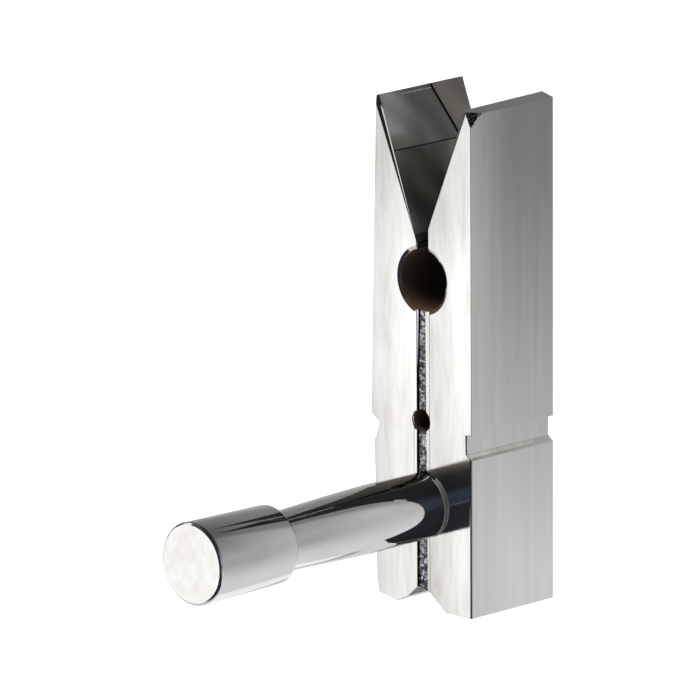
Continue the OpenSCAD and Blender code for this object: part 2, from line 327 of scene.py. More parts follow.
def from_axis(point, hole):
    """How far a point lies from the axis of a round hole."""
    return math.hypot(point.x - hole[0], point.z - hole[1])


def in_round_hole(point, hole, spare=0.15 * MM):
    """Tells whether a point lies in a round hole, or no more than the spare width beside it."""
    return from_axis(point, hole) < hole[2] + spare


def kind_of(face):
    """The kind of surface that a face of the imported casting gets."""
    normal, centre = face.normal, face.calc_center_median()
    in_hole = in_round_hole(centre, SPRING_HOLE) or in_round_hole(centre, WIRE_HOLE)
    if in_hole and abs(normal.y) < SHALLOW:
        return BORE
    if POCKET_Y - LIP < centre.y < -BACK_SKIN and abs(centre.x) < POCKET_HALF_W:
        return CAST
    # The spring hole's lower rim takes the bore's plate and its painted shade
    if (in_round_hole(centre, SPRING_HOLE, RIM_W) and normal.z > RIM_UPWARDS
            and RIM_TILT[0] < normal.y < RIM_TILT[1]):
        return BORE
    if normal.y < -SQUARE and centre.y > front_y + FLOOR_LEAST:
        return CAST
    if abs(normal.x) > STEEP and abs(centre.x) < ARM_WALL_X and centre.z > SPRING_HOLE[1]:
        return RECESS
    if abs(normal.x) > SIDE_TILT or normal.z > STEEP or normal.y > SQUARE:
        return GROUND
    return BUFFED


def cut_faces(mesh, kind, normal, places, test=None):
    """Cuts all faces of one kind with level planes, one through each place."""
    for place in places:
        faces = [f for f in mesh.faces
                 if f.material_index == kind and (test is None or test(f))]
        edges = {edge for f in faces for edge in f.edges}
        verts = {vert for f in faces for vert in f.verts}
        bmesh.ops.bisect_plane(mesh, geom=faces + list(edges) + list(verts), dist=TINY,
                               plane_co=place, plane_no=normal)


casting = merged_copy("body")
for face in casting.faces:
    face.material_index = kind_of(face)

# Finer steps round the two holes, so that their walls shine evenly
BORE_CUTS = 3
for hole in (SPRING_HOLE, WIRE_HOLE):
    ring = [e for e in casting.edges if abs(e.verts[0].co.y - e.verts[1].co.y) < CLOSE
            and all(-CLOSE < from_axis(v.co, hole) - hole[2] < RIM_W for v in e.verts)
            and abs(from_axis(e.verts[0].co, hole) - from_axis(e.verts[1].co, hole)) < CLOSE]
    radii = {round(from_axis(v.co, hole), 6) for e in ring for v in e.verts}
    cut = bmesh.ops.subdivide_edges(casting, edges=ring, cuts=BORE_CUTS)
    for vert in cut["geom_inner"]:
        if isinstance(vert, bmesh.types.BMVert):
            radius = from_axis(vert.co, hole)
            full = min(r for r in radii if r > radius - CLOSE)
            vert.co.x = hole[0] + (vert.co.x - hole[0]) * full / radius
            vert.co.z = hole[1] + (vert.co.z - hole[1]) * full / radius
casting.normal_update()

# Inner wall of the left arm: its upper part is milled, down to a crease across the wall and
# back to a slanting groove. The crease has painted shade above and a painted highlight below,
# and a fine scratch with a painted highlight runs along under the arm's tip.
SPREAD_ANGLE = math.radians(20.6)
CREASE_Z = feet_z + 89 * MM
CREASE_DARK_W = 0.22 * MM
CREASE_BRIGHT_W = 0.25 * MM
CREASE_BACK_Y = -9 * MM
SLANT_TOP = Vector((0, -8.4 * MM, feet_z + 98.8 * MM))
SLANT_FOOT = Vector((0, -4.6 * MM, feet_z + 89.4 * MM))
SLANT_HALF_W = 0.28 * MM
SLANT_DEPTH = 0.1 * MM
SLANT_END = 0.3 * MM
MILLED_DEPTH = 0.06 * MM
SCRATCH_DROP = 0.72 * MM
SCRATCH_W = 0.16 * MM
SCRATCH_ENDS = (-16.5 * MM, -7.5 * MM)
TIP_X = -12.5 * MM
TIP_Z = feet_z + 99.4 * MM
TIP_SLOPE = math.radians(14)
wall_out = Vector((math.cos(SPREAD_ANGLE), 0, math.sin(SPREAD_ANGLE)))
slant_way = (SLANT_TOP - SLANT_FOOT).normalized()
slant_across = Vector((0, slant_way.z, -slant_way.y))


def on_left_wall(face):
    return face.normal.dot(wall_out) > SQUARE and face.calc_center_median().x < 0


def above_crease(face):
    return on_left_wall(face) and face.calc_center_median().z > CREASE_Z


crease_edges = (CREASE_Z - CREASE_BRIGHT_W, CREASE_Z, CREASE_Z + CREASE_DARK_W)
cut_faces(casting, RECESS, Vector((0, 0, 1)), [Vector((0, 0, z)) for z in crease_edges],
          on_left_wall)
cut_faces(casting, RECESS, slant_across,
          [SLANT_FOOT + slant_across * SLANT_HALF_W * step for step in (-1, 0, 1)], above_crease)
tip_corner = Vector((TIP_X, 0, TIP_Z))
tip_out = Vector((-math.sin(TIP_SLOPE), 0, math.cos(TIP_SLOPE)))
cut_faces(casting, RECESS, tip_out,
          [tip_corner - tip_out * (SCRATCH_DROP + drop) for drop in (0, SCRATCH_W)],
          above_crease)


def beside_scratch(face):
    drop = (tip_corner - face.calc_center_median()).dot(tip_out) - SCRATCH_DROP
    return above_crease(face) and 0 < drop < SCRATCH_W


cut_faces(casting, RECESS, Vector((0, 1, 0)), [Vector((0, y, 0)) for y in SCRATCH_ENDS],
          beside_scratch)
for face in casting.faces:
    if not on_left_wall(face):
        continue
    centre = face.calc_center_median()
    before_slant = (centre - SLANT_FOOT).dot(slant_across)
    # Painted shade above the crease and in the slanting groove, painted highlight below the
    # crease and in the scratch
    if CREASE_Z < centre.z < CREASE_Z + CREASE_DARK_W and centre.y < CREASE_BACK_Y:
        face.material_index = CREASE_SHADE
    elif CREASE_Z - CREASE_BRIGHT_W < centre.z < CREASE_Z and centre.y < CREASE_BACK_Y:
        face.material_index = PAINTED_HIGHLIGHT
    elif centre.z > CREASE_Z and abs(before_slant) < SLANT_HALF_W:
        face.material_index = CREASE_SHADE
    elif beside_scratch(face) and SCRATCH_ENDS[0] < centre.y < SCRATCH_ENDS[1]:
        face.material_index = PAINTED_HIGHLIGHT
    elif centre.z > CREASE_Z and before_slant < -SLANT_HALF_W:
        face.material_index = MILLED
slant_line = [v for v in casting.verts if v.co.z > CREASE_Z + SLANT_END
              and abs((v.co - SLANT_FOOT).dot(slant_across)) < TINY
              and any(on_left_wall(f) for f in v.link_faces)]
bmesh.ops.translate(casting, vec=-wall_out * SLANT_DEPTH, verts=slant_line)
milled = {vert for face in casting.faces if face.material_index == MILLED
          or (on_left_wall(face) and beside_scratch(face)) for vert in face.verts}
bmesh.ops.translate(casting, vec=-wall_out * MILLED_DEPTH, verts=list(milled))

# Groove between the jaws: a narrow web of rough casting lies between two buffed ledges that
# lean apart, and both are only a little deeper than the front. The web smooths out upwards.
GROOVE_FLOOR_Y = front_y + 0.8 * MM
GROOVE_HALF_W = 1.65 * MM
GROOVE_CHAMFER = 0.3 * MM
GROOVE_WALL_TILT = 0.5
LEDGE_Y = front_y + 0.17 * MM
WEB_Y = front_y + 0.45 * MM
WEB_LEFT = Vector((-1.25 * MM, 0, feet_z + 59 * MM))
WEB_RIGHT = Vector((0.65 * MM, 0, feet_z + 59 * MM))
LEFT_LEAN = 0.022
RIGHT_LEAN = 0.0086
WEB_CUTS_W = 2.6 * MM
WEB_STEP = 0.3 * MM
WEB_ROUGH = 0.13 * MM
WEB_GRAIN = 0.75 * MM
FINER_GRAIN = 2.3
SMOOTH_FROM = feet_z + 38 * MM
SMOOTH_TO = feet_z + 48 * MM
SMOOTHED = 0.7
LEFT_SLOPE = 0.1
RIGHT_SLOPE = 0.5
left_lean = Vector((1, 0, -LEFT_LEAN)).normalized()
right_lean = Vector((1, 0, RIGHT_LEAN)).normalized()


def on_web(face):
    return face.normal.y < -SQUARE and LEDGE_Y + LIP < face.calc_center_median().y < POCKET_Y


def on_ledge(point, spare=0):
    """Tells whether a point lies on one of the ledges beside the web."""
    return ((point - WEB_LEFT).dot(left_lean) < spare
            or (point - WEB_RIGHT).dot(right_lean) > -spare)


cut_faces(casting, CAST, left_lean, [WEB_LEFT, WEB_LEFT + left_lean * LIP], on_web)
cut_faces(casting, CAST, right_lean, [WEB_RIGHT - right_lean * LIP, WEB_RIGHT], on_web)
for face in casting.faces:
    centre = face.calc_center_median()
    if on_web(face) and on_ledge(centre):
        face.material_index = BUFFED
    elif (face.normal.x > GROOVE_WALL_TILT and abs(centre.x + GROOVE_HALF_W) < LIP
          and centre.z < SPRING_HOLE[1] and centre.y < POCKET_Y):
        face.material_index = CAST
for vert in casting.verts:
    x, y = abs(vert.co.x), vert.co.y
    on_chamfer = abs(y - front_y - (GROOVE_HALF_W + GROOVE_CHAMFER - x)) < CLOSE
    if abs(y - GROOVE_FLOOR_Y) < TINY and x < GROOVE_HALF_W + CLOSE:
        vert.co.y = LEDGE_Y if on_ledge(vert.co, LIP / 2) else WEB_Y
    elif on_chamfer and GROOVE_HALF_W - CLOSE < x < GROOVE_HALF_W + GROOVE_CHAMFER:
        slope = LEFT_SLOPE if vert.co.x < 0 else RIGHT_SLOPE
        vert.co.y = front_y + (y - front_y) * slope
cuts_x = [-GROOVE_HALF_W + WEB_STEP * (i + 1) for i in range(int(WEB_CUTS_W / WEB_STEP))]
cuts_z = [feet_z + WEB_STEP * (i + 1) for i in range(int(SPRING_HOLE[1] / WEB_STEP))]
casting.normal_update()
cut_faces(casting, CAST, Vector((1, 0, 0)), [Vector((x, 0, 0)) for x in cuts_x], on_web)
cut_faces(casting, CAST, Vector((0, 0, 1)), [Vector((0, 0, z)) for z in cuts_z], on_web)
casting.normal_update()
for vert in casting.verts:
    if all(on_web(face) for face in vert.link_faces):
        up = (vert.co.z - SMOOTH_FROM) / (SMOOTH_TO - SMOOTH_FROM)
        rough = WEB_ROUGH * (1 - SMOOTHED * min(1, max(0, up)))
        vert.co.y += rough * noise.noise(vert.co / WEB_GRAIN)
        vert.co.y += rough / 2 * noise.noise(vert.co * FINER_GRAIN / WEB_GRAIN)

# Chipped corner at the top of the right arm, where the plating didn't take: rough and
# uneven, as broken metal is.
CHIP_ACROSS = 1.3 * MM
CHIP_BACK = 3.0 * MM
CHIP_DOWN = 2.6 * MM
CHIP_CUTS = 6
CHIP_ROUGH = 0.5 * MM
CHIP_GRAIN = 0.55 * MM
CHIP_REACH = 4 * MM
right_x = body_high[0]
chip_corner = Vector((right_x, front_y, TIP_Z))
chip_out = Vector((1 / CHIP_ACROSS, -1 / CHIP_BACK, 1 / CHIP_DOWN)).normalized()


def whole(mesh):
    return mesh.verts[:] + mesh.edges[:] + mesh.faces[:]


def edges_in(geometry):
    return [element for element in geometry if isinstance(element, bmesh.types.BMEdge)]


chip_cut = bmesh.ops.bisect_plane(
    casting, geom=whole(casting), dist=TINY, plane_co=chip_corner + Vector((0, CHIP_BACK, 0)),
    plane_no=chip_out, clear_outer=True)
chip = bmesh.ops.holes_fill(casting, edges=edges_in(chip_cut["geom_cut"]), sides=0)["faces"]
for face in chip:
    face.material_index = CAST
chip = bmesh.ops.poke(casting, faces=chip)["faces"]
bmesh.ops.subdivide_edges(casting, edges=list({e for f in chip for e in f.edges}),
                          cuts=CHIP_CUTS, use_grid_fill=True)
chip = [face for face in casting.faces if face.material_index == CAST
        and (face.calc_center_median() - chip_corner).length < CHIP_REACH]
# Chip faces beside the right side get a painted highlight
for face in chip:
    neighbours = {other for edge in face.edges for other in edge.link_faces}
    if any(other.material_index == GROUND and other.normal.x > STEEP for other in neighbours):
        face.material_index = PAINTED_HIGHLIGHT
for vert in {vert for face in chip for vert in face.verts}:
    move = -chip_out * CHIP_ROUGH * abs(noise.noise(vert.co / CHIP_GRAIN)
                                        + noise.noise(vert.co * FINER_GRAIN / CHIP_GRAIN))
    if all(face in chip for face in vert.link_faces):
        vert.co += move
    elif abs(vert.co.y - front_y) < CLOSE:
        vert.co += Vector((move.x, 0, move.z)) / 2
    elif abs(vert.co.x - right_x) < CLOSE:
        vert.co += Vector((0, move.y, move.z)) / 2

# Rounding that the buffing wheel has left on the edges: most on the left and along the arms'
# inner walls, where it grows with the bevel beside it, and little on the right.
FRONT_ROUND = 0.3 * MM
RIGHT_ROUND = 0.1 * MM
RIGHT_EDGE_X = 12 * MM
SMALL_ROUND = 0.14 * MM
RIM_ROUND = 0.1 * MM
WALL_ROUND = 0.36 * MM
SPREAD_Z = feet_z + 72.1 * MM
BEVEL_ANGLE = math.radians(23)
BEVEL_GAIN = math.tan(BEVEL_ANGLE) - math.tan(SPREAD_ANGLE)
BEVEL_TILT = 0.8
BEVEL_SHARE = 0.55
FACE_SHARE = 0.35
LEAST_TURN = math.radians(30)
WALL_EDGE_LEAST = 3 * MM
WALL_EDGE_CUTS = 9
ROUND_STEPS = 4
PEG_Z = feet_z + 20.4 * MM
SCREW_HOLE = (0, PEG_Z, 3.25 * MM)


def is_wall_edge(edge):
    """Tells whether an edge lies between an arm's inner wall and the bevel in front of it."""
    kinds = {face.material_index for face in edge.link_faces}
    bevels = [f for f in edge.link_faces
              if f.normal.y < -BEVEL_TILT and abs(f.normal.x) > SHALLOW]
    return bool(kinds & ARM_WALL_KINDS) and len(bevels) == 1


def room_beside(edge):
    """How far the narrower one of the two faces beside an edge reaches away from it."""
    start = edge.verts[0].co
    along = (edge.verts[1].co - start).normalized()
    reach = []
    for face in edge.link_faces:
        ways = [vert.co - start for vert in face.verts]
        reach.append(max((way - along * way.dot(along)).length for way in ways))
    return min(reach)


def edge_round(edge):
    """How wide the rounding of an edge is."""
    kinds = {face.material_index for face in edge.link_faces}
    if is_wall_edge(edge):
        middle_z = (edge.verts[0].co.z + edge.verts[1].co.z) / 2
        return min(WALL_ROUND, BEVEL_SHARE * BEVEL_GAIN * max(0, middle_z - SPREAD_Z))
    if edge.calc_face_angle(0) < LEAST_TURN or CAST in kinds or kinds <= ARM_WALL_KINDS:
        return 0
    ends = [vert.co for vert in edge.verts]
    beside_chip = all(end.x > 0 and end.z > chip_corner.z for end in ends)
    if beside_chip or all(in_round_hole(end, SCREW_HOLE) for end in ends):
        return 0
    if any(all(in_round_hole(end, hole, RIM_W) for end in ends)
           for hole in (SPRING_HOLE, WIRE_HOLE)):
        return RIM_ROUND
    at_front = all(abs(end.y - front_y) < CLOSE for end in ends)
    wanted = FRONT_ROUND if at_front and kinds != {BUFFED} else SMALL_ROUND
    if at_front and all(end.x > RIGHT_EDGE_X for end in ends):
        wanted = RIGHT_ROUND
    return min(wanted, FACE_SHARE * room_beside(edge))


casting.normal_update()
wall_edges = [e for e in casting.edges if is_wall_edge(e) and e.calc_length() > WALL_EDGE_LEAST]
bmesh.ops.subdivide_edges(casting, edges=wall_edges, cuts=WALL_EDGE_CUTS)
casting.normal_update()
round_layer = casting.edges.layers.float.new("bevel_weight_edge")
for edge in casting.edges:
    edge[round_layer] = edge_round(edge) / WALL_ROUND

# Values of a noise between which nearly all of it lies
NOISE_LOW, NOISE_HIGH = 0.3, 0.7


def chrome_material(name, colours, haze, roughness, waves, grain, painted_shades=()):
    """Chrome plate: a near mirror with haze, the wheel's waves and fine lines. Haze is its
    size in millimetres and its stretch along X, Y and Z, and roughness that of clear and of
    hazy spots. Waves are a size and a depth in millimetres, and grain is both and a stretch.
    Painted shades are greys by millimetres along an axis: painted shade that darkens the colours."""
    material, tree, output = new_material(name)
    haze_mm, haze_stretch = haze
    wave_mm, wave_depth = waves
    grain_mm, grain_depth, grain_stretch = grain
    place = add_node(tree, "ShaderNodeTexCoord")
    along_haze = add_node(tree, "ShaderNodeMapping", inputs={"Scale": haze_stretch},
                          links={"Vector": place.outputs["Object"]})
    clouds = add_node(tree, "ShaderNodeTexNoise",
                      inputs={"Scale": 1 / (haze_mm * MM), "Detail": 4, "Roughness": 0.6,
                              "Distortion": 0.4},
                      links={"Vector": along_haze.outputs["Vector"]})
    tint = colour_ramp(tree, clouds.outputs["Fac"], colours)
    split = add_node(tree, "ShaderNodeSeparateXYZ", links={0: place.outputs["Object"]})
    for axis, greys in painted_shades:
        shade = colour_ramp(tree, split.outputs[axis], greys, MM)
        shaded = add_node(tree, "ShaderNodeMix", {"data_type": "RGBA", "blend_type": "MULTIPLY"},
                          inputs={0: 1}, links={6: tint, 7: shade})
        tint = shaded.outputs[2]
    gloss = add_node(tree, "ShaderNodeMapRange", links={"Value": clouds.outputs["Fac"]},
                     inputs={"From Min": NOISE_HIGH, "From Max": NOISE_LOW,
                             "To Min": roughness[0], "To Max": roughness[1]})
    swell = add_node(tree, "ShaderNodeTexNoise",
                     inputs={"Scale": 1 / (wave_mm * MM), "Detail": 1, "Roughness": 0.4},
                     links={"Vector": place.outputs["Object"]})
    wavy = add_node(tree, "ShaderNodeBump", inputs={"Strength": 1, "Distance": wave_depth * MM},
                    links={"Height": swell.outputs["Fac"]})
    along_grain = add_node(tree, "ShaderNodeMapping", inputs={"Scale": grain_stretch},
                           links={"Vector": place.outputs["Object"]})
    streaks = add_node(tree, "ShaderNodeTexNoise",
                       inputs={"Scale": 1 / (grain_mm * MM), "Detail": 2, "Roughness": 0.6},
                       links={"Vector": along_grain.outputs["Vector"]})
    lines = add_node(tree, "ShaderNodeBump", inputs={"Strength": 1, "Distance": grain_depth * MM},
                     links={"Height": streaks.outputs["Fac"], "Normal": wavy.outputs["Normal"]})
    shader = add_node(tree, "ShaderNodeBsdfPrincipled", inputs={"Metallic": 1},
                      links={"Base Color": tint, "Roughness": gloss.outputs[0],
                             "Normal": lines.outputs["Normal"]})
    tree.links.new(shader.outputs[0], output.inputs["Surface"])
    return material


# Buffed chrome is a bright mirror with upright streaks of haze. Painted shade makes each jaw
# greyer at its left, and both of them greyer towards their ends.
JAW_PAINTED_SHADE = [
    ("X", [(-14, "#DCDCDC"), (-11.5, "#E8E8E8"), (-7.5, "#F6F6F6"), (-1.6, "#FCFCFC"),
           (1.6, "#E8E8E8"), (4.7, "#EBEBEB"), (7.4, "#F4F4F4"), (10, "#FFFFFF"),
           (13.2, "#FFFFFF")]),
    ("Z", [(-30, "#EEEEEE"), (-1, "#F6F6F6"), (15, "#FFFFFF"), (38, "#FFFFFF"),
           (48, "#EEEEEE"), (58, "#E8E8E8"), (70, "#E4E4E4")]),
]
buffed_chrome = chrome_material(
    "buffed_chrome_plate",
    [(0.28, "#DEDAD3"), (0.42, "#EAE8E4"), (0.58, "#F3F2F0"), (0.75, "#FDFDFC")],
    haze=(5, (1.6, 1, 0.28)), roughness=(0.05, 0.11), waves=(14, 0.012),
    grain=(0.35, 0.0004, (1, 1, 0.08)), painted_shades=JAW_PAINTED_SHADE)
# Ground chrome on the sides is neutral and a little softer, with fine upright brush lines
ground_chrome = chrome_material(
    "ground_chrome_plate",
    [(0.3, "#DDDEDF"), (0.5, "#E3E3E3"), (0.7, "#E9E9E9")],
    haze=(1.6, (1, 1, 0.03)), roughness=(0.06, 0.11), waves=(16, 0.010),
    grain=(0.3, 0.0006, (1, 1, 0.04)))
# Painted shade in the crease and along the slanting groove: nearly black and dull
crease_shade_paint = chrome_material(
    "painted_crease_shade",
    [(0.3, "#1E1C1A"), (0.7, "#2E2B27")],
    haze=(0.8, (1, 1, 1)), roughness=(0.5, 0.7), waves=(1, 0.02),
    grain=(0.2, 0.004, (1, 1, 1)))
# Rough cast chrome: the plating follows the pitted skin of the mould, so that it glitters
# in dark blue grey and white
cast_chrome = chrome_material(
    "rough_cast_chrome_plate",
    [(0.33, "#1E2125"), (0.5, "#4E5359"), (0.68, "#CDD1D4")],
    haze=(0.8, (1, 1, 1)), roughness=(0.12, 0.27), waves=(1.2, 0.05),
    grain=(0.4, 0.02, (1, 1, 1)))

# A wave texture draws its rings this far apart at a scale of one
RING_SPACING = 2 * math.pi / 20
SPECK_MM = 0.35


def tooled_material(name, axis, colours, arcs, roughness, metallic=1):
    """Plate on a wall that a tool has cut: its colours go by millimetres along an axis. Arcs
    have their centre, and their spacing and depth in millimetres, and fine specks break
    them up."""
    material, tree, output = new_material(name)
    arc_centre, arc_mm, arc_depth = arcs
    place = add_node(tree, "ShaderNodeTexCoord")
    split = add_node(tree, "ShaderNodeSeparateXYZ", links={0: place.outputs["Object"]})
    tint = colour_ramp(tree, split.outputs[axis], colours, MM)
    centred = add_node(tree, "ShaderNodeMapping", inputs={"Location": -arc_centre},
                       links={"Vector": place.outputs["Object"]})
    rings = add_node(tree, "ShaderNodeTexWave",
                     {"wave_type": "RINGS", "rings_direction": "X", "wave_profile": "SIN"},
                     inputs={"Scale": RING_SPACING / (arc_mm * MM), "Distortion": 1.5,
                             "Detail": 3, "Detail Scale": 2},
                     links={"Vector": centred.outputs["Vector"]})
    specks = add_node(tree, "ShaderNodeTexNoise",
                      inputs={"Scale": 1 / (SPECK_MM * MM), "Detail": 3, "Roughness": 0.7},
                      links={"Vector": place.outputs["Object"]})
    uneven = add_node(tree, "ShaderNodeMath", {"operation": "MULTIPLY"},
                      links={0: rings.outputs["Fac"], 1: specks.outputs["Fac"]})
    darker = add_node(tree, "ShaderNodeMapRange", links={"Value": uneven.outputs[0]},
                      inputs={"From Min": 0, "From Max": 0.6, "To Min": 0.8, "To Max": 1.1})
    scaled = add_node(tree, "ShaderNodeVectorMath", {"operation": "SCALE"},
                      links={0: tint, "Scale": darker.outputs[0]})
    cuts = add_node(tree, "ShaderNodeBump", inputs={"Strength": 1, "Distance": arc_depth * MM},
                    links={"Height": rings.outputs["Fac"]})
    shader = add_node(tree, "ShaderNodeBsdfPrincipled",
                      inputs={"Metallic": metallic, "Roughness": roughness},
                      links={"Base Color": scaled.outputs[0], "Normal": cuts.outputs["Normal"]})
    tree.links.new(shader.outputs[0], output.inputs["Surface"])
    return material


# Milled and then plated: the cutter's arcs show, and painted shade makes the shine fade to the
# back
milled_chrome = tooled_material(
    "milled_chrome_plate", "Y",
    [(-22.6, "#FFFFFF"), (-19, "#E8E8EA"), (-16, "#BEBEBE"), (-14, "#A6A6A6"), (-8, "#9A9A98")],
    arcs=(Vector((0, -34 * MM, 48 * MM)), 5.655, 0.002), roughness=0.16)
# Between the arms painted shade darkens the plate halfway back,
# and it turns tan near the wall
recess_chrome = tooled_material(
    "recess_plate_painted_shade", "Y",
    [(-22.6, "#EEEEEC"), (-20, "#B4B4B2"), (-12, "#7A7A78"), (-9, "#8E897F"), (-7, "#BCB6AB"),
     (0, "#C4BEB2")],
    arcs=(Vector((0, -60 * MM, 30 * MM)), 8.8, 0.0008), roughness=0.16)
# Painted highlight on edges: a dull white that scatters the light in all directions, so that it
# looks bright
painted_highlight_edge = tooled_material(
    "painted_highlight_plate", "Z", [(-30, "#FFFFFF"), (70, "#FFFFFF")],
    arcs=(Vector((0, 0, 0)), 18.85, 0.0004), roughness=0.5, metallic=0.2)
# Inside the round holes the plate is dull and brown, and painted shade darkens it, most to the
# back
bore_chrome = tooled_material(
    "bore_plate_painted_shade", "Y", [(-22, "#6A5440"), (-14, "#44382C"), (0, "#342B22")],
    arcs=(Vector((0, 0, 0)), 18.85, 0.0004), roughness=0.9, metallic=0)

body_piece = finish_piece(casting, "body_casting", "body",
                          [buffed_chrome, ground_chrome, recess_chrome, milled_chrome,
                           cast_chrome, bore_chrome, crease_shade_paint, painted_highlight_edge])
buffed_edges = body_piece.modifiers.new("buffed_edges", "BEVEL")
buffed_edges.limit_method = "WEIGHT"
buffed_edges.width = WALL_ROUND
buffed_edges.segments = ROUND_STEPS
buffed_edges.profile = 0.5
buffed_edges.use_clamp_overlap = False
level_faces(body_piece)

# Peg rod: a round steel bar, turned with a slight belly, drilled and tapped at both ends,
# mirror polished and chrome plated. Its edge at the foot has a painted highlight on the right.
ROD_BASE_R = 6.5 * MM
ROD_BELLY_R = 6.6 * MM
ROD_BELLY_AHEAD = 14 * MM
ROD_TIP_R = 5.65 * MM
ROD_CURVE = 1.3
ROD_CHAMFER = 0.4 * MM
ROD_STEPS = 14
FOOT_RING = 0.2 * MM
FOOT_RING_START = 3 * MM
SCREW_BORE_R = 3.05 * MM
SCREW_BORE_LEN = 13 * MM
STUD_BORE_R = 2.55 * MM
STUD_BORE_LEN = 9 * MM
TURN_STEPS = 160


def turned(profile, y_base):
    """Spins a half section, given as (radius, distance to the front), about the peg's axis."""
    lathe = bmesh.new()
    points = [lathe.verts.new((radius, y_base - ahead, PEG_Z)) for radius, ahead in profile]
    edges = [lathe.edges.new(pair) for pair in zip(points, points[1:])]
    bmesh.ops.spin(lathe, geom=points + edges, cent=(0, 0, PEG_Z), axis=(0, 1, 0),
                   angle=2 * math.pi, steps=TURN_STEPS, use_merge=True)
    bmesh.ops.remove_doubles(lathe, verts=lathe.verts, dist=TINY)
    bmesh.ops.recalc_face_normals(lathe, faces=lathe.faces)
    return lathe


rod_low, rod_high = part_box("peg_rod")
rod_len = rod_high[1] - rod_low[1]


def rod_radius(ahead):
    """Radius of the rod, which swells from its foot to its belly and then tapers."""
    if ahead < ROD_BELLY_AHEAD:
        rest = (ROD_BELLY_AHEAD - ahead) / (ROD_BELLY_AHEAD - ROD_CHAMFER)
        return ROD_BELLY_R - (ROD_BELLY_R - ROD_BASE_R) * rest ** 2
    part = (ahead - ROD_BELLY_AHEAD) / (rod_len - ROD_BELLY_AHEAD)
    return ROD_BELLY_R - (ROD_BELLY_R - ROD_TIP_R) * part ** ROD_CURVE


side_steps = ([ROD_CHAMFER, ROD_CHAMFER + FOOT_RING]
              + [ROD_BELLY_AHEAD * i / ROD_STEPS for i in range(1, ROD_STEPS)]
              + [ROD_BELLY_AHEAD + (rod_len - ROD_BELLY_AHEAD) * i / ROD_STEPS
                 for i in range(ROD_STEPS + 1)])
rod_profile = ([(0, SCREW_BORE_LEN), (SCREW_BORE_R, SCREW_BORE_LEN), (SCREW_BORE_R, 0),
                (ROD_BASE_R - ROD_CHAMFER, 0)] + [(rod_radius(a), a) for a in side_steps]
               + [(STUD_BORE_R, rod_len), (STUD_BORE_R, rod_len - STUD_BORE_LEN),
                  (0, rod_len - STUD_BORE_LEN)])
# Turned chrome is a clean mirror with faint lines round the axis
turned_chrome = chrome_material(
    "turned_chrome_plate",
    [(0.3, "#E4E4E4"), (0.5, "#E9E9E9"), (0.7, "#EEEEEE")],
    haze=(6, (1, 0.5, 1)), roughness=(0.035, 0.065), waves=(20, 0.006),
    grain=(0.3, 0.0002, (1, 6, 1)))
rod = turned(rod_profile, rod_high[1])
# The right of the foot's edge gets the painted highlight
for face in rod.faces:
    centre = face.calc_center_median()
    at_foot = (rod_high[1] - centre.y < ROD_CHAMFER + FOOT_RING and abs(face.normal.y) < SQUARE
               and math.hypot(centre.x, centre.z - PEG_Z) > ROD_BASE_R - ROD_CHAMFER)
    if at_foot and centre.x > FOOT_RING_START:
        face.material_index = 1
finish_piece(rod, "turned_peg_rod", "peg_rod", [turned_chrome, painted_highlight_edge])

# Rod screw and spring washer: zinc plated steel. The screw goes through the body from the
# pocket in its back, and its washer keeps the rod from turning loose.
SCREW_R = 3 * MM
SCREW_PITCH = 1 * MM
SCREW_NECK = 1 * MM
SCREW_POINT = 0.6 * MM
HEAD_RIM_R = 5 * MM
HEAD_ROUND = 0.4 * MM
WASHER_R = 5.5 * MM
WASHER_BORE_R = 3.25 * MM
WASHER_SLIT = math.radians(7)
WASHER_STEPS = 90
# Threads, in shares of their pitch: how far the ridge stands out of the core, how far its
# foot sinks into it, and where along the screw foot and crest begin and end
THREAD_DEPTH = 0.61
THREAD_SINK = 0.1
FOOT_START, CREST_START, CREST_END, FOOT_END = 0.02, 0.42, 0.52, 0.92
THREAD_STEPS = 36
SHANK_NEAR = 0.02 * MM
# Clouds and pits of zinc plate
CLOUD_MM = 2.5
PIT_MM = 0.25
PIT_DEPTH_MM = 0.004
PIT_DULLNESS = 0.12


def zinc_material(name, colours, roughness):
    """Zinc plate: a dull metal with small clouds, fine pits and a faint cast of colour."""
    material, tree, output = new_material(name)
    place = add_node(tree, "ShaderNodeTexCoord")
    clouds = add_node(tree, "ShaderNodeTexNoise",
                      inputs={"Scale": 1 / (CLOUD_MM * MM), "Detail": 4, "Roughness": 0.6},
                      links={"Vector": place.outputs["Object"]})
    tint = colour_ramp(tree, clouds.outputs["Fac"], colours)
    pits = add_node(tree, "ShaderNodeTexNoise",
                    inputs={"Scale": 1 / (PIT_MM * MM), "Detail": 2, "Roughness": 0.6},
                    links={"Vector": place.outputs["Object"]})
    skin = add_node(tree, "ShaderNodeBump", inputs={"Strength": 1, "Distance": PIT_DEPTH_MM * MM},
                    links={"Height": pits.outputs["Fac"]})
    gloss = add_node(tree, "ShaderNodeMapRange", links={"Value": pits.outputs["Fac"]},
                     inputs={"To Min": roughness, "To Max": roughness + PIT_DULLNESS})
    shader = add_node(tree, "ShaderNodeBsdfPrincipled", inputs={"Metallic": 1},
                      links={"Base Color": tint, "Roughness": gloss.outputs[0],
                             "Normal": skin.outputs["Normal"]})
    tree.links.new(shader.outputs[0], output.inputs["Surface"])
    return material


def wind(mesh, section, **spin):
    """Spins a closed section, given as its points, and closes the two ends."""
    points = [mesh.verts.new(point) for point in section]
    ring = [mesh.edges.new(pair) for pair in zip(points, points[1:] + points[:1])]
    wound = bmesh.ops.spin(mesh, geom=points + ring, **spin)
    bmesh.ops.holes_fill(mesh, edges=ring + edges_in(wound["geom_last"]), sides=0)
    bmesh.ops.recalc_face_normals(mesh, faces=mesh.faces)


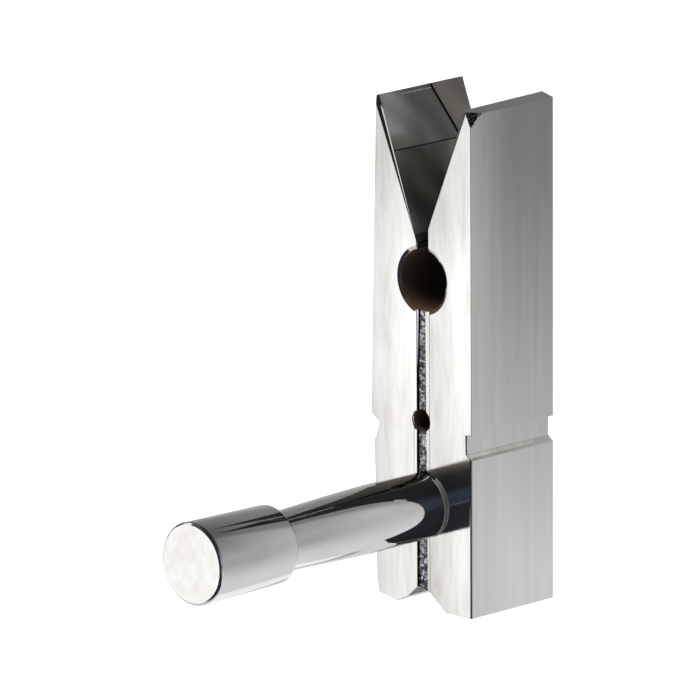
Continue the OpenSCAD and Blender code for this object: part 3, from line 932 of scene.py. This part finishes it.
def add_thread(mesh, start, end, r, pitch):
    """Cuts a thread into a shank: narrows it and winds a ridge of its old radius round it."""
    axis = (end - start).normalized()
    beside = axis.orthogonal().normalized()
    core = r - THREAD_DEPTH * pitch
    foot = core - THREAD_SINK * pitch
    length = (end - start).length
    for place in (start, end):
        bmesh.ops.bisect_plane(mesh, geom=whole(mesh), dist=TINY, plane_co=place, plane_no=axis)
    for vert in mesh.verts:
        along = (vert.co - start).dot(axis)
        out = vert.co - start - axis * along
        if -SHANK_NEAR < along < length + SHANK_NEAR and abs(out.length - r) < SHANK_NEAR:
            vert.co -= out * (1 - core / r)
    section = [start + beside * radius + axis * pitch * along for radius, along in
               ((foot, FOOT_START), (r, CREST_START), (r, CREST_END), (foot, FOOT_END))]
    steps = int((length / pitch - 1) * THREAD_STEPS)
    wind(mesh, section, cent=start, axis=axis, dvec=axis * pitch / THREAD_STEPS,
         angle=2 * math.pi * steps / THREAD_STEPS, steps=steps)


# Bright zinc plate is blue grey with paler clouds, and yellow zinc plate is a dull gold
bright_zinc = zinc_material("bright_zinc_plate",
                            [(0.3, "#9EA3AA"), (0.5, "#B4B7BA"), (0.72, "#C2BFB2")], 0.28)
yellow_zinc = zinc_material("yellow_zinc_plate",
                            [(0.3, "#A98F55"), (0.5, "#C2AA6C"), (0.72, "#C9B98A")], 0.3)
screw_tip_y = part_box("rod_screw")[0][1]
screw = merged_copy("rod_screw")
head_rims = [e for e in screw.edges if e.calc_face_angle(0) > LEAST_TURN
             and all(math.hypot(v.co.x, v.co.z - PEG_Z) > HEAD_RIM_R for v in e.verts)]
bmesh.ops.bevel(screw, geom=head_rims, offset=HEAD_ROUND, offset_type="OFFSET",
                affect="EDGES", segments=3, profile=0.5, material=-1, clamp_overlap=True)
add_thread(screw, Vector((0, rod_high[1] - SCREW_NECK, PEG_Z)),
           Vector((0, screw_tip_y + SCREW_POINT, PEG_Z)), SCREW_R, SCREW_PITCH)
finish_piece(screw, "rod_screw_steel", "rod_screw", [yellow_zinc])

washer_low, washer_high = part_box("spring_washer")
washer = bmesh.new()
washer_section = [(radius, y, PEG_Z) for radius, y in
                  ((WASHER_BORE_R, washer_low[1]), (WASHER_R, washer_low[1]),
                   (WASHER_R, washer_high[1]), (WASHER_BORE_R, washer_high[1]))]
wind(washer, washer_section, cent=(0, 0, PEG_Z), axis=(0, 1, 0),
     angle=2 * math.pi - WASHER_SLIT, steps=WASHER_STEPS)
finish_piece(washer, "spring_washer_steel", "spring_washer", [bright_zinc])

# End cap and its stud: the cap is turned from solid bar, flares slightly to the front and
# has rounded edges. A short threaded stud joins it to the rod, whose tip sits in its seat.
CAP_BACK_R = 7.75 * MM
CAP_SEAT = 2 * MM
CAP_SEAT_R = 5.75 * MM
FRONT_EDGE_R = 0.7 * MM
BACK_EDGE_R = 0.6 * MM
ARC_STEPS = 8
STUD_R = 2.5 * MM
STUD_PITCH = 0.8 * MM
STUD_POINT = 0.4 * MM


def quarter_round(radius_at, ahead_at, r, start):
    """Points of a rounded edge about its own centre, for the profile of a turned piece."""
    angles = [math.radians(start + 90 * i / ARC_STEPS) for i in range(ARC_STEPS + 1)]
    return [(radius_at + r * math.cos(a), ahead_at + r * math.sin(a)) for a in angles]


cap_low, cap_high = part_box("end_cap")
cap_front_r = (cap_high[0] - cap_low[0]) / 2
cap_len = cap_high[1] - cap_low[1]
cap_profile = ([(0, CAP_SEAT + STUD_BORE_LEN), (STUD_BORE_R, CAP_SEAT + STUD_BORE_LEN),
                (STUD_BORE_R, CAP_SEAT), (CAP_SEAT_R, CAP_SEAT), (CAP_SEAT_R, 0)]
               + quarter_round(CAP_BACK_R - BACK_EDGE_R, BACK_EDGE_R, BACK_EDGE_R, -90)
               + quarter_round(cap_front_r - FRONT_EDGE_R, cap_len - FRONT_EDGE_R,
                               FRONT_EDGE_R, 0)
               + [(0, cap_len)])
cap = turned(cap_profile, cap_high[1])
for face in cap.faces:
    if all(vert.co.y < cap_low[1] + CLOSE for vert in face.verts):
        face.material_index = 1
# The cap's front is buffed by hand, which leaves swirls of haze and small tan stains
swirled_chrome = chrome_material(
    "swirled_chrome_plate",
    [(0.3, "#DDD9D2"), (0.42, "#E1DFDA"), (0.58, "#E6E5E2"), (0.75, "#EDEDEC")],
    haze=(2.2, (1, 1, 0.8)), roughness=(0.06, 0.11), waves=(7, 0.012),
    grain=(0.4, 0.0006, (1, 1, 1)))
finish_piece(cap, "turned_end_cap", "end_cap", [turned_chrome, swirled_chrome])

stud_low, stud_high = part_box("cap_stud")
stud = merged_copy("cap_stud")
add_thread(stud, Vector((0, stud_high[1] - STUD_POINT, PEG_Z)),
           Vector((0, stud_low[1] + STUD_POINT, PEG_Z)), STUD_R, STUD_PITCH)
finish_piece(stud, "cap_stud_steel", "cap_stud", [bright_zinc])

# Wall bracket: sheet steel, punched, bent and zinc plated. It is screwed to the wall first,
# and the body hangs on its hooked upper shelf.
BEND_R = 1.4 * MM
BEND_LEAST = 12 * MM
PUNCH_ROUND = 0.15 * MM
PUNCH_TURN = math.radians(40)

bracket = merged_copy("wall_bracket")
bends = [e for e in bracket.edges
         if e.calc_face_angle(0) > PUNCH_TURN and e.calc_length() > BEND_LEAST
         and abs(e.verts[0].co.z - e.verts[1].co.z) < CLOSE
         and all(abs(v.co.y) < CLOSE for v in e.verts)]
bmesh.ops.bevel(bracket, geom=bends, offset=BEND_R, offset_type="OFFSET", affect="EDGES",
                segments=5, profile=0.5, material=-1, clamp_overlap=True)
bracket_piece = finish_piece(bracket, "wall_bracket_steel", "wall_bracket",
                             [bright_zinc])
tumbled_edges = bracket_piece.modifiers.new("tumbled_edges", "BEVEL")
tumbled_edges.width = PUNCH_ROUND
tumbled_edges.segments = 2
tumbled_edges.profile = 0.5
tumbled_edges.limit_method = "ANGLE"
tumbled_edges.angle_limit = PUNCH_TURN
level_faces(bracket_piece)

# Grub screw: a small set screw with a hexagon socket. It is driven up through the floor of
# the body's pocket against the bracket, so that the body can't be lifted off.
GRUB_R = 2 * MM
GRUB_PITCH = 0.7 * MM
GRUB_RIM = 0.3 * MM
GRUB_POINT = 1 * MM

grub_low, grub_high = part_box("grub_screw")
grub_y = (grub_low[1] + grub_high[1]) / 2
grub = merged_copy("grub_screw")
add_thread(grub, Vector((0, grub_y, grub_low[2] + GRUB_RIM)),
           Vector((0, grub_y, grub_high[2] - GRUB_POINT)), GRUB_R, GRUB_PITCH)
finish_piece(grub, "grub_screw_steel", "grub_screw", [bright_zinc])
